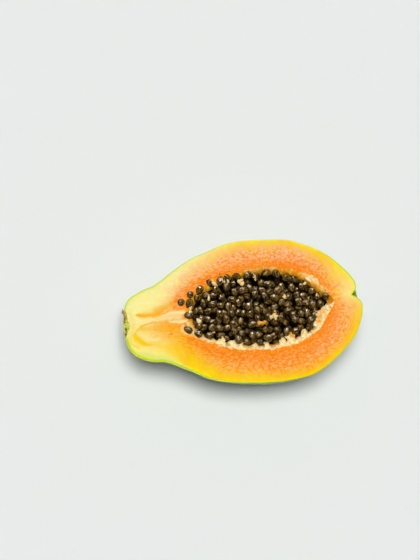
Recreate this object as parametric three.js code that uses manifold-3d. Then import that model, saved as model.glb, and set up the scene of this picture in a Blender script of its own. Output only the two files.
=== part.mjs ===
// Half a papaya, cut lengthwise through its stem and its blossom end, with its seeds.
// Millimetres. The cut face is level and looks up (+Z). The fruit's long axis runs along X,
// with the stem end at -X and the blossom end at +X. The origin is the middle of the small
// flat spot under the belly that the half rests on.
import * as THREE from "three";
import { mergeVertices } from "three/addons/utils/BufferGeometryUtils.js";
import Module from "manifold-3d";

const wasm = await Module();
wasm.setup();

// Fruit.
const FRUIT_LENGTH = 165;
const BELLY_WIDTH = 99.5;
const BELLY_DEPTH = 49; // from the cut face down to the untrimmed belly
const REST_ALONG = 90; // from the stem end to the resting spot
const REST_TRIM = 0.6; // how much of the belly the resting spot takes off
const CUT_HEIGHT = BELLY_DEPTH - REST_TRIM; // the cut face above the resting spot
const FRUIT_FACETS = 48;
const FRUIT_STEPS = 40;

// The fruit grew lopsided: its belly bows a little to one side, and its blossom end leans to
// the other, so that the dimple there is off the axis and one lobe beside it is the longer.
const BOW = 1.4; // sideways, at its most
const BOW_ALONG = 128;
const BOW_SPREAD = 30;
const TIP_START = 135; // where the lean begins, and where it is complete
const TIP_END = 162;
const TIP_SHIFT = 4; // sideways
const TIP_SLANT = 0.147; // lengthwise, for each millimetre sideways

// Seed cavity: a hollow spindle, blunt towards the stem and pointed towards the blossom end.
const CAVITY_LENGTH = 103;
const CAVITY_RADIUS = 27.8;
const CAVITY_ALONG = 95.3; // from the stem end to the cavity's middle
const CAVITY_OFFSET = 1.9; // sideways, off the fruit's axis
const CAVITY_FACETS = 36;
const CAVITY_STEPS = 26;

// Seeds. The named ones lie side by side on the bed, which is all the seeds under them.
const SEED_COUNT = 56;
const SEED_RADII = [3.6, 3.2, 3.1];
const SEED_GAP = 0.3;
const SEED_SPACING = 2.01 * SEED_RADII[0] + SEED_GAP;
const FIELD_MIDDLE = 0; // the middle of the field of seeds, along the cavity
const FIELD_REACH = [43, 21]; // and its half-width along and across
const FIELD_SCATTER = 3;
const SETTLE_ROUNDS = 600;
const RANDOM_START = 20817;

// Bed: its top lies this far below the cut face, and dips further in one shallow hollow.
const BED_DROP = 9.4;
const BED_DIP = 2.4;
const BED_DIP_MIDDLE = 18; // along the cavity
const BED_DIP_REACH = [26, 14];
const BED_CLEARANCE = 0.5; // to the cavity wall

const FLESH = new THREE.MeshStandardMaterial({ color: "#f29a33", roughness: 0.4, metalness: 0 });
const SEED_COAT = new THREE.MeshStandardMaterial({ color: "#2b2116", roughness: 0.25, metalness: 0 });

// A smooth outline through stations given as [share of the length, share of the radius].
function outlineThrough(stations, length, radius, steps) {
  const corners = stations.map(([along, out]) => new THREE.Vector2(out * radius, along * length));
  const outline = new THREE.SplineCurve(corners).getPoints(steps);
  outline.forEach((point) => {
    point.x = Math.max(point.x, 0);
  });
  return outline;
}

// Blunt stem end, short neck, full belly, and a dimple at the blossom end.
const skinOutline = outlineThrough(
  [
    [0.006, 0], [0, 0.15], [0.0125, 0.31], [0.037, 0.402], [0.09, 0.485], [0.152, 0.54],
    [0.24, 0.705], [0.33, 0.855], [0.44, 0.957], [0.54, 0.998], [0.64, 1], [0.74, 0.955],
    [0.84, 0.812], [0.92, 0.597], [0.972, 0.365], [0.995, 0.22], [1, 0.14], [0.993, 0.07],
    [0.97, 0],
  ],
  FRUIT_LENGTH, BELLY_WIDTH / 2, FRUIT_STEPS,
);

const cavityOutline = outlineThrough(
  [
    [0, 0], [0.003, 0.22], [0.03, 0.42], [0.08, 0.54], [0.15, 0.685], [0.245, 0.84],
    [0.35, 0.935], [0.45, 0.985], [0.55, 1], [0.65, 0.965], [0.735, 0.89], [0.81, 0.775],
    [0.87, 0.635], [0.91, 0.475], [0.95, 0.27], [0.98, 0.11], [1, 0],
  ],
  CAVITY_LENGTH, CAVITY_RADIUS, CAVITY_STEPS,
);

// A closed solid of revolution about X.
function spindle(outline, facets) {
  return new THREE.LatheGeometry(outline, facets).rotateZ(-Math.PI / 2);
}

// A cube far bigger than the fruit, all of it above the given height, or all of it below.
function cubeAbove(height) {
  const side = 2 * FRUIT_LENGTH;
  return new THREE.BoxGeometry(side, side, side).translate(0, 0, height + side / 2);
}

function cubeBelow(height) {
  return cubeAbove(height).translate(0, 0, -2 * FRUIT_LENGTH);
}

function toSolid(geometry) {
  const bare = geometry.clone();
  bare.deleteAttribute("normal");
  bare.deleteAttribute("uv");
  const merged = mergeVertices(bare, 1e-4);
  return new wasm.Manifold(
    new wasm.Mesh({
      numProp: 3,
      vertProperties: new Float32Array(merged.attributes.position.array),
      triVerts: new Uint32Array(merged.index.array),
    }),
  );
}

function toMesh(solid, material) {
  const { vertProperties, triVerts } = solid.getMesh();
  const geometry = new THREE.BufferGeometry();
  geometry.setAttribute("position", new THREE.BufferAttribute(vertProperties, 3));
  geometry.setIndex(new THREE.BufferAttribute(triVerts, 1));
  geometry.computeVertexNormals();
  return new THREE.Mesh(geometry, material);
}

// The cavity stands in its own frame: origin in the middle of its axis, with the cut face at
// z = 0. Its seeds and their bed are laid out in that frame too.
function cavitySpindle() {
  return spindle(cavityOutline, CAVITY_FACETS).translate(-CAVITY_LENGTH / 2, 0, 0);
}

function placeCavity(object) {
  object.position.set(CAVITY_ALONG - REST_ALONG, CAVITY_OFFSET, CUT_HEIGHT);
  object.updateMatrix();
  return object;
}

// Bows the belly and leans the blossom end of a shape whose stem end is at x = 0.
function lopsided(geometry) {
  const corners = geometry.attributes.position;
  for (let i = 0; i < corners.count; i++) {
    const [x, y] = [corners.getX(i), corners.getY(i)];
    const tip = THREE.MathUtils.smoothstep(x, TIP_START, TIP_END);
    const bow = BOW * Math.exp(-(((x - BOW_ALONG) / BOW_SPREAD) ** 2));
    corners.setX(i, x - TIP_SLANT * tip * y);
    corners.setY(i, y + TIP_SHIFT * tip - bow);
  }
  return geometry;
}

// Skin and flesh grew as one piece: the whole fruit, less its other half, its seed cavity
// and the sliver that the resting spot takes off.
function halfFruit() {
  const whole = lopsided(spindle(skinOutline, FRUIT_FACETS));
  whole.scale(1, 1, (2 * BELLY_DEPTH) / BELLY_WIDTH);
  whole.translate(-REST_ALONG, 0, CUT_HEIGHT);
  const cavity = cavitySpindle().applyMatrix4(placeCavity(new THREE.Object3D()).matrix);
  const half = toSolid(whole)
    .subtract(toSolid(cubeAbove(CUT_HEIGHT)))
    .subtract(toSolid(cubeBelow(0)))
    .subtract(toSolid(cavity));
  return toMesh(half, FLESH);
}

function bedTop(x, y) {
  const along = (x - BED_DIP_MIDDLE) / BED_DIP_REACH[0];
  const across = y / BED_DIP_REACH[1];
  return -BED_DROP - BED_DIP * Math.exp(-along * along - across * across);
}

// Everything in the cavity's frame below the bed's top: a block with that top as its upper face.
function blockUnderBedTop() {
  const block = new THREE.BoxGeometry(CAVITY_LENGTH, 3 * CAVITY_RADIUS, CUT_HEIGHT, 18, 14, 1);
  block.translate(0, 0, -CUT_HEIGHT / 2);
  const corners = block.attributes.position;
  for (let i = 0; i < corners.count; i++) {
    if (corners.getZ(i) > -CUT_HEIGHT / 2) {
      corners.setZ(i, bedTop(corners.getX(i), corners.getY(i)));
    }
  }
  return block;
}

// The cavity's own shape, drawn in by the clearance, up to the bed's top.
function seedBed() {
  const across = 1 - BED_CLEARANCE / CAVITY_RADIUS;
  const along = 1 - (6 * BED_CLEARANCE) / CAVITY_LENGTH;
  const full = cavitySpindle().scale(along, across, across);
  return toMesh(toSolid(full).intersect(toSolid(blockUnderBedTop())), SEED_COAT);
}

// The cavity's radius at a place along it, on straight lines between the outline's points.
function cavityRadius(x) {
  const along = x + CAVITY_LENGTH / 2;
  const next = cavityOutline.findIndex((point) => point.y > along);
  if (next < 1) {
    return 0;
  }
  const [before, after] = [cavityOutline[next - 1], cavityOutline[next]];
  return before.x + ((after.x - before.x) * (along - before.y)) / (after.y - before.y);
}

// How far off the cavity's axis a seed's centre may lie and still clear the wall.
function roomAcross(x, z) {
  const reach = SEED_RADII[0] + SEED_GAP;
  const narrowest = Math.min(...[-reach, 0, reach].map((step) => cavityRadius(x + step)));
  return Math.sqrt(Math.max((narrowest - reach) ** 2 - z ** 2, 0));
}

function pushApart(place, other) {
  const away = new THREE.Vector3(other.x - place.x, other.y - place.y, 0);
  const shortfall = SEED_SPACING - away.length();
  if (shortfall > 0) {
    away.setLength(shortfall / 2);
    place.sub(away);
    other.add(away);
  }
}

function keepInside(place) {
  const [reach] = FIELD_REACH;
  place.x = THREE.MathUtils.clamp(place.x, FIELD_MIDDLE - reach, FIELD_MIDDLE + reach);
  place.z = bedTop(place.x, place.y) + SEED_RADII[0] + SEED_GAP;
  const room = roomAcross(place.x, place.z);
  place.y = THREE.MathUtils.clamp(place.y, -room, room);
}

// Seed centres: spread on a sunflower spiral with a little scatter, then pushed apart and
// back inside the cavity until they settle.
function settledPlaces(random) {
  const goldenTurn = Math.PI * (3 - Math.sqrt(5));
  const scattered = (value) => value + FIELD_SCATTER * (random() - 0.5);
  const places = Array.from({ length: SEED_COUNT }, (_, i) => {
    const out = Math.sqrt((i + 0.5) / SEED_COUNT);
    const x = FIELD_MIDDLE + FIELD_REACH[0] * out * Math.cos(i * goldenTurn);
    const y = FIELD_REACH[1] * out * Math.sin(i * goldenTurn);
    return new THREE.Vector3(scattered(x), scattered(y), 0);
  });
  for (let round = 0; round < SETTLE_ROUNDS; round++) {
    places.forEach((place, i) => places.slice(i + 1).forEach((other) => pushApart(place, other)));
    places.forEach(keepInside);
  }
  return places;
}

// One seed: egg-round, turned its own way.
function seed(place, random) {
  const shape = new THREE.IcosahedronGeometry(1, 1).scale(...SEED_RADII);
  const body = new THREE.Mesh(shape, SEED_COAT);
  body.position.copy(place);
  body.rotation.set(Math.PI * random(), Math.PI * random(), Math.PI * random());
  return body;
}

// Mulberry32: the same run of numbers between 0 and 1 each time.
function randomSource(state) {
  return () => {
    state = (state + 0x6d2b79f5) | 0;
    let t = Math.imul(state ^ (state >>> 15), 1 | state);
    t = (t + Math.imul(t ^ (t >>> 7), 61 | t)) ^ t;
    return ((t ^ (t >>> 14)) >>> 0) / 2 ** 32;
  };
}

function cavityContents() {
  const random = randomSource(RANDOM_START);
  const contents = placeCavity(new THREE.Group());
  const bed = seedBed();
  bed.name = "seed_bed";
  contents.add(bed);
  settledPlaces(random).forEach((place, i) => {
    const body = seed(place, random);
    body.name = `seed_${String(i + 1).padStart(2, "0")}`;
    contents.add(body);
  });
  return contents;
}

function papayaHalf() {
  const papaya = new THREE.Group();
  const fruit = halfFruit();
  fruit.name = "papaya_half";
  papaya.add(fruit, cavityContents());
  return papaya;
}

export default papayaHalf();
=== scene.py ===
"""Half a ripe papaya, cut lengthwise, resting on its skin with the cut face up.

Everything is in metres, in the frame's own axes: +X from the stem end to the blossom end,
+Z up out of the cut face, and the origin at the spot that the belly rests on.
"""
import math

import bmesh
import bpy
import numpy as np
from mathutils import Matrix, Vector


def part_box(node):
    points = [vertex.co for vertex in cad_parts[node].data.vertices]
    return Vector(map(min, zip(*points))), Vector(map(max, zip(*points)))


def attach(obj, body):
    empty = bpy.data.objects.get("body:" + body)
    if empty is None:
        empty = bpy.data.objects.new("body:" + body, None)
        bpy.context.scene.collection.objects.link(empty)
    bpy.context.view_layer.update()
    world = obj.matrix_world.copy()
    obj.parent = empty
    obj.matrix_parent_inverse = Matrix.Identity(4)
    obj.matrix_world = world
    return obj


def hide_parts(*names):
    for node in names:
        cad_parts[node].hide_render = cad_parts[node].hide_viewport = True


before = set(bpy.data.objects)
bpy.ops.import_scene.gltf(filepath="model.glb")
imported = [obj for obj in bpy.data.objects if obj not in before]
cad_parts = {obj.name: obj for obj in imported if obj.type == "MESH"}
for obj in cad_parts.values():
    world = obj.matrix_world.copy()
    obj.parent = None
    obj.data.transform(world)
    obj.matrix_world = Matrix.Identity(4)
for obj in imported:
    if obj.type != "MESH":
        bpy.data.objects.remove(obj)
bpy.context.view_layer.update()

MM = 0.001
BODY = "root"

# Fruit: the frame's own solid gives the stem end and the cut face.
STEM_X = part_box("papaya_half")[0][0]
CUT_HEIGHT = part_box("papaya_half")[1][2]
FRUIT_LENGTH = 165 * MM
BELLY_RADIUS = 49.75 * MM
BELLY_DEPTH = CUT_HEIGHT + 0.6 * MM  # the resting spot takes 0.6 mm off it
RIBS = 5  # faint ones, round the half's belly
RIB_HEIGHT = 0.5 * MM
SCAR_RADIUS = 9.8 * MM  # of the stem scar
SCAR_ASIDE = 2.8 * MM  # its middle, across from the axis
SCAR_BEVEL = 2.6 * MM  # how far its upper edge leans in at the cut face
SCAR_DEPTH = 0.4 * MM
SHOULDER = 1.1 * MM  # how far the stem end is drawn back beside the scar

# The fruit grew lopsided: its belly bows to one side, and its blossom end leans to the other.
BOW = 1.4 * MM  # sideways, at its most
BOW_ALONG = 128 * MM
BOW_SPREAD = 30 * MM
TIP_START = 135 * MM  # where the lean begins, and where it is complete
TIP_END = 162 * MM
TIP_SHIFT = 4 * MM  # sideways
TIP_SLANT = 0.147  # lengthwise, for each length sideways

# Cavity, in its own frame: origin in the middle of its axis, level with the cut face.
CAVITY_LENGTH = 103 * MM
CAVITY_RADIUS = 27.8 * MM
CAVITY_MIDDLE = (95.3 * MM, 1.9 * MM)  # from the stem end, and across
RIM_DROP = 0.5 * MM  # the rim's rounding below the cut face
RIM_LIP = 2.4 * MM  # how far the wall slopes in just under the rim
SHELF = 3 * MM  # and how much further at one place near the blossom end

# Grid of the fruit's surface: steps along it, and rows across skin, cut face and lining.
ALONG_STEPS = 340
SKIN_ROWS = 88
FACE_ROWS = 58
LINING_ROWS = 36

SEED_LENGTH = 7.5 * MM
SEED_WIDTH = 5.6 * MM
SEED_SPACING = 5.3 * MM  # between neighbours in the heap
BURIED = 0.5  # the cover, from 0 to 1, past which a seed counts as buried


# ---------------------------------------------------------------- numbers and curves

def ease(value, start, end):
    """0 before start, 1 past end, and 3t^2 - 2t^3 between them. start may be above end."""
    t = np.clip((value - start) / (end - start), 0, 1)
    return t * t * (3 - 2 * t)


def bell(value, middle, spread):
    """A Gaussian bump of height 1."""
    return np.exp(-(((value - middle) / spread) ** 2))


def between(low, high, share):
    """The low value where the share is 0, the high one where it is 1."""
    return low + (high - low) * share


def ripples(points, wavelength, seed):
    """A smooth random field of spread 1: cosine waves of about one length, in random
    directions and phases, added up at each point."""
    rng = np.random.default_rng(seed)
    waves = 14
    ways = rng.normal(size=(waves, points.shape[-1]))
    ways /= np.linalg.norm(ways, axis=1, keepdims=True)
    ways *= 2 * math.pi / wavelength * rng.uniform(0.6, 1.5, (waves, 1))
    phases = rng.uniform(0, 2 * math.pi, waves)
    return np.cos(points @ ways.T + phases).sum(axis=-1) * math.sqrt(2 / waves)


def smooth_through(stations, count):
    """Uniform Catmull-Rom spline: each span is the cubic that leaves and reaches its ends
    parallel to the chord between the neighbours on either side."""
    p = np.asarray(stations, float)
    t = np.linspace(0, len(p) - 1, count)
    span = np.minimum(t.astype(int), len(p) - 2)
    f = (t - span)[:, None]
    a, b, c, d = (p[np.clip(span + k, 0, len(p) - 1)] for k in (-1, 0, 1, 2))
    return (2 * b + (c - a) * f + (2 * a - 5 * b + 4 * c - d) * f**2
            + (3 * b - 3 * c + d - a) * f**3) / 2


def spaced(curve, count):
    """The curve at steps of its own length that are even but for both ends, where they are
    closer together."""
    run = np.concatenate([[0], np.cumsum(np.linalg.norm(np.diff(curve, axis=0), axis=1))])
    share = run / run[-1]
    crowd = 1 + 1.6 * bell(share, 0, 0.1) + bell(share, 1, 0.08)
    crowded = np.concatenate([[0], np.cumsum((crowd[1:] + crowd[:-1]) / 2 * np.diff(share))])
    places = np.linspace(0, crowded[-1], count)
    return np.stack([np.interp(places, crowded, column) for column in curve.T], axis=1)


def outline_through(stations, length, radius):
    """Half of a lengthwise section: rows of (distance along, distance from the axis)."""
    curve = smooth_through(stations, 1600) * (length, radius)
    curve[:, 1] = np.maximum(curve[:, 1], 0)
    return spaced(curve, ALONG_STEPS + 1)


def on_face(along, across, over=0):
    """The point given in mm from the stem end, from the axis and over the cut face."""
    return np.array([STEM_X + along * MM, across * MM, CUT_HEIGHT + over * MM])


def any_turn(rng):
    """A random angle, anywhere round a full turn."""
    return rng.uniform(0, 6.3)


def toned(grid, tone):
    """The tone, held between 0 and 1, for each of the grid's points."""
    return np.full(grid.shape[:2], np.clip(tone, 0, 1))


def stacked(*parts):
    """Points from their coordinates, each a grid, or a row or column spread over one."""
    return np.stack(np.broadcast_arrays(*parts), axis=-1)


def distance_to(points, line, widths=1.0):
    """Distance from each point to the nearest of the line's points, in the XY plane, each
    counted in its own width."""
    nearest = np.empty(len(points))
    batch = 4000  # points at a time, to spare memory
    for start in range(0, len(points), batch):
        part = points[start:start + batch, None, :2] - line[None, :, :2]
        nearest[start:start + batch] = (np.sqrt((part**2).sum(axis=2)) / widths).min(axis=1)
    return nearest


# ---------------------------------------------------------------- meshes

def grid_faces(rows, columns, start, wrap):
    """Quads of a grid whose vertices are numbered row by row from start."""
    r = np.arange(rows - 1)[:, None]
    c = np.arange(columns if wrap else columns - 1)[None, :]
    beside = (c + 1) % columns
    a, b = r * columns + c, r * columns + beside
    quads = np.stack([a, b, b + columns, a + columns], axis=-1)
    return quads.reshape(-1, 4) + start


def in_scene(name, data):
    """A new object with the data, in the scene."""
    made = bpy.data.objects.new(name, data)
    bpy.context.scene.collection.objects.link(made)
    return made


def mesh_object(name, grids, materials, kinds=None, painted=None, wrap=True):
    """One smooth mesh of closed surfaces, each a grid of points. Doubles are merged, so that
    poles and seams close, and faces are turned outwards. kinds gives each grid's material,
    and painted the attributes that materials read, a value for each point."""
    quads, start = [], 0
    wraps = wrap if isinstance(wrap, (list, tuple)) else [wrap] * len(grids)
    for grid, wrapped in zip(grids, wraps):
        quads.append(grid_faces(*grid.shape[:2], start, wrapped))
        start += grid.shape[0] * grid.shape[1]
    mesh = bpy.data.meshes.new(name)
    points = np.concatenate([grid.reshape(-1, 3) for grid in grids])
    mesh.from_pydata(points.tolist(), [], np.concatenate(quads).tolist())
    for material in materials:
        mesh.materials.append(material)
    if kinds:
        indices = np.concatenate([np.full(len(q), kind) for q, kind in zip(quads, kinds)])
        mesh.polygons.foreach_set("material_index", indices)
    piece = in_scene(name, mesh)
    for attribute, values in (painted or {}).items():
        rows = [value.reshape((-1,) + value.shape[2:]) for value in values]
        paint(piece, attribute, np.concatenate(rows))
    welded = bmesh.new()
    welded.from_mesh(mesh)
    bmesh.ops.remove_doubles(welded, verts=welded.verts, dist=0.002 * MM)
    bmesh.ops.dissolve_degenerate(welded, edges=welded.edges, dist=0.001 * MM)
    bmesh.ops.recalc_face_normals(welded, faces=welded.faces)
    welded.to_mesh(mesh)
    welded.free()
    mesh.shade_smooth()
    return piece


def points_of(piece):
    """The piece's vertices, as rows of x, y, z."""
    flat = np.empty(len(piece.data.vertices) * 3, np.float32)
    piece.data.vertices.foreach_get("co", flat)
    return flat.reshape(-1, 3).astype(float)


def paint(piece, name, values):
    """Stores a number, or a vector, for each vertex, for the material to read."""
    kind, field = ("FLOAT", "value") if np.ndim(values) == 1 else ("FLOAT_VECTOR", "vector")
    attribute = piece.data.attributes.new(name, kind, "POINT")
    attribute.data.foreach_set(field, np.ravel(np.asarray(values, np.float32)))


def hand_over(piece, node=None):
    """Gives the frame a finished piece, which takes the node's place where one is named."""
    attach(piece, BODY)
    if node:
        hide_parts(node)


# ---------------------------------------------------------------- material helpers

def linear(colour):
    """An sRGB hex colour as the linear red, green, blue and alpha that shaders take."""
    parts = [int(colour[i:i + 2], 16) / 255 for i in (1, 3, 5)]
    return [c / 12.92 if c <= 0.04045 else ((c + 0.055) / 1.055) ** 2.4 for c in parts] + [1]


def add(tree, kind, links=None, ramp=None, output=0, **settings):
    """Adds one node and returns one of its outputs. links gives its inputs, by name or place,
    as numbers, hex colours or other nodes' outputs. ramp gives a colour ramp's stops."""
    made = tree.nodes.new("ShaderNode" + kind)
    for name, value in settings.items():
        setattr(made, name, value)
    for socket, value in (links or {}).items():
        if isinstance(value, bpy.types.NodeSocket):
            tree.links.new(value, made.inputs[socket])
        else:
            made.inputs[socket].default_value = linear(value) if isinstance(value, str) else value
    if ramp:
        stops = made.color_ramp.elements
        while len(stops) < len(ramp):
            stops.new(1)
        for stop, (place, colour) in zip(stops, ramp):
            stop.position, stop.color = place, linear(colour)
    return made.outputs[output] if made.outputs else made


def layered(tree, colour, *layers):
    """The colour with others laid over it, one by one, each given with the factors whose
    product is its share."""
    for over, share, *factors in layers:
        for factor in factors:
            share = add(tree, "Math", {0: share, 1: factor}, operation="MULTIPLY")
        colour = add(tree, "MixRGB", {"Fac": share, "Color1": colour, "Color2": over})
    return colour


def wire(tree, inputs, **outputs):
    """Links the outputs to the inputs that they are named for, with _ for a space."""
    for socket, output in outputs.items():
        tree.links.new(output, inputs[socket.replace("_", " ")])


def new_material(name, **values):
    """A material with one Principled shader whose own sockets take the values: names with _
    for a space. Returns its tree and the shader's inputs as well."""
    material = bpy.data.materials.new(name)
    material.use_nodes = True
    tree = material.node_tree
    tree.nodes.clear()
    surface = add(tree, "BsdfPrincipled")
    add(tree, "OutputMaterial", {"Surface": surface})
    inputs = surface.node.inputs
    for socket, value in values.items():
        inputs[socket.replace("_", " ")].default_value = value
    return material, tree, inputs


# ---------------------------------------------------------------- fruit

SKIN_STATIONS = [  # share of the length, share of the radius: blunt stem end to dimpled tip
    (0.006, 0), (0, 0.15), (0.0125, 0.31), (0.037, 0.402), (0.09, 0.485), (0.152, 0.54),
    (0.24, 0.705), (0.33, 0.855), (0.44, 0.957), (0.54, 0.998), (0.64, 1), (0.74, 0.955),
    (0.84, 0.812), (0.92, 0.597), (0.972, 0.365), (0.995, 0.22), (1, 0.14), (0.993, 0.07),
    (0.97, 0),
]
CAVITY_STATIONS = [
    (0, 0), (0.003, 0.22), (0.03, 0.42), (0.08, 0.54), (0.15, 0.685), (0.245, 0.84),
    (0.35, 0.935), (0.45, 0.985), (0.55, 1), (0.65, 0.965), (0.735, 0.89), (0.81, 0.775),
    (0.87, 0.635), (0.91, 0.475), (0.95, 0.27), (0.98, 0.11), (1, 0),
]


def lopsided(along, across):
    """Bows the belly to one side, and leans the blossom end to the other, so that one lobe
    beside its dimple is the longer."""
    tip = ease(along, TIP_START, TIP_END)
    bow = BOW * bell(along, BOW_ALONG, BOW_SPREAD)
    return along - TIP_SLANT * tip * across, across + TIP_SHIFT * tip - bow


def cavity_outline():
    """Half of the cavity's lengthwise section, from the end nearer the stem."""
    return outline_through(CAVITY_STATIONS, CAVITY_LENGTH, CAVITY_RADIUS)


def from_cavity(points):
    """Points of the cavity's frame, in the fruit's."""
    return points + (STEM_X + CAVITY_MIDDLE[0], CAVITY_MIDDLE[1], CUT_HEIGHT)


def skin_grid():
    """The outline turned half-way round the axis, from one cut edge under the belly to the
    other. Its radius takes faint ribs and soft lumps, the stem end takes a scar that
    leans in at the top with a shoulder beside it, and the belly is level where it would reach
    below the ground."""
    outline = outline_through(SKIN_STATIONS, FRUIT_LENGTH, BELLY_RADIUS)
    along, out = outline[:, 0, None], outline[:, 1, None]
    angle = np.linspace(0, math.pi, SKIN_ROWS + 1)[None, :]
    spot = stacked(along, out * np.cos(angle), -out * np.sin(angle))
    belly = ease(out, 0.3 * BELLY_RADIUS, 0.8 * BELLY_RADIUS)
    ribs = RIB_HEIGHT * belly * np.cos(RIBS * angle + 0.4)
    lumps = ripples(spot, 44 * MM, 3) * 0.4 * MM + ripples(spot, 15 * MM, 4) * 0.1 * MM
    radius = out + (ribs + lumps) * ease(out, 0, 0.35 * BELLY_RADIUS)
    off_scar = np.hypot(radius * np.cos(angle) - SCAR_ASIDE, out * np.sin(angle)) / SCAR_RADIUS
    in_scar = ease(along, 14 * MM, 7 * MM) * ease(off_scar, 1.06, 0.94)
    across = (radius * np.cos(angle) - SCAR_ASIDE) / SCAR_RADIUS
    bevel = SCAR_BEVEL * np.clip(1 - across**2, 0, 1) * ease(out * np.sin(angle), 5 * MM, 0)
    pits = SCAR_DEPTH + ripples(spot, 2.6 * MM, 5) * 0.2 * MM
    shoulder = SHOULDER * ease(along, 24 * MM, 4 * MM) * ease(radius * np.cos(angle), 0, 12 * MM)
    x, y = lopsided(along + shoulder + in_scar * (bevel + pits), radius * np.cos(angle))
    z = np.maximum(CUT_HEIGHT - radius * np.sin(angle) * BELLY_DEPTH / BELLY_RADIUS, 0)
    return stacked(x + STEM_X, y, z)


def lining_grid():
    """The cavity's outline turned half-way round its axis, with a wall that slopes in under
    the rim. Soft knobs, where seeds were attached, stand on it and make its rim ragged."""
    outline = cavity_outline()
    along, out = outline[:, 0, None] - CAVITY_LENGTH / 2, outline[:, 1, None]
    angle = np.linspace(0, math.pi, LINING_ROWS + 1)[None, :]
    spot = stacked(along, out * np.cos(angle), -out * np.sin(angle))
    knobs = ripples(spot, 5 * MM, 11) * 0.32 * MM + ripples(spot, 2.4 * MM, 12) * 0.2 * MM
    radius = out + knobs * ease(out, 0, 6 * MM)
    far = bell(along, 38 * MM, 9 * MM) * ease(np.cos(angle), 0.3, 0.9)
    slope = 1 - np.exp(-radius * np.sin(angle) / (0.8 * MM))
    lip = (RIM_LIP + SHELF * far) * ease(out, 0, 12 * MM) * slope
    along = along + 1.6 * RIM_LIP * bell(along, -CAVITY_LENGTH / 2, 9 * MM) * slope
    y, z = (radius - lip) * np.cos(angle), -RIM_DROP - radius * np.sin(angle)
    return from_cavity(stacked(along, y, z))


def edge_loop(grid):
    """The grid's two long edges as one closed loop, out along the first and back."""
    return np.concatenate([grid[:, 0], grid[-2:0:-1, -1]])


def edges_to_grid(values, columns):
    """Values for the points of an edge loop, spread over the grid whose edges it joins: each
    half of the grid takes its own edge's."""
    first, second = values[:ALONG_STEPS + 1], np.append(values[:ALONG_STEPS - 1:-1], values[0])
    return np.where(np.arange(columns) < columns / 2, first[:, None], second[:, None])


def face_grid(outer, rim):
    """Straight lines from each point of the outer loop to its fellow on the cavity's rim,
    with points closer together at both ends. The face is nearly level: faintly uneven, and
    rounded down over the rim."""
    even = np.linspace(0, 1, FACE_ROWS + 1)
    share = (0.45 * even + 0.55 * (1 - np.cos(math.pi * even)) / 2)[:, None, None]
    grid = outer[None] * (1 - share) + rim[None] * share
    to_rim = np.linalg.norm(grid[..., :2] - rim[None, :, :2], axis=-1)
    to_edge = np.linalg.norm(grid[..., :2] - outer[None, :, :2], axis=-1)
    drop = RIM_DROP * np.exp(-to_rim / (1.3 * MM))
    flat = np.clip(np.minimum(to_edge, to_rim) / (3 * MM), 0, 1)
    uneven = ripples(grid[..., :2], 17 * MM, 21) * 0.12 + ripples(grid[..., :2], 4 * MM, 22) * 0.05
    grid[..., 2] = CUT_HEIGHT - drop + uneven * MM * flat
    return grid


def build_fruit():
    """Skin, cut face and lining, welded into one closed surface."""
    skin, lining = skin_grid(), lining_grid()
    outer, rim = edge_loop(skin), edge_loop(lining)
    face = face_grid(outer, rim)
    run = np.cumsum(np.linalg.norm(outer - np.roll(outer, 1, axis=0), axis=1))
    around = [edges_to_grid(run, skin.shape[1]), np.broadcast_to(run, face.shape[:2]),
              edges_to_grid(run, lining.shape[1])]
    fruit = mesh_object("papaya_half_fruit", [skin, face, lining],
                        [skin_material(), flesh_material(), lining_material()],
                        kinds=[0, 1, 2], painted={"around": around}, wrap=[False, True, False])
    fruit.data.set_sharp_from_angle(angle=math.radians(55))
    paint_fruit(fruit, outer, rim)
    hand_over(fruit, "papaya_half")
    return rim


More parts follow.
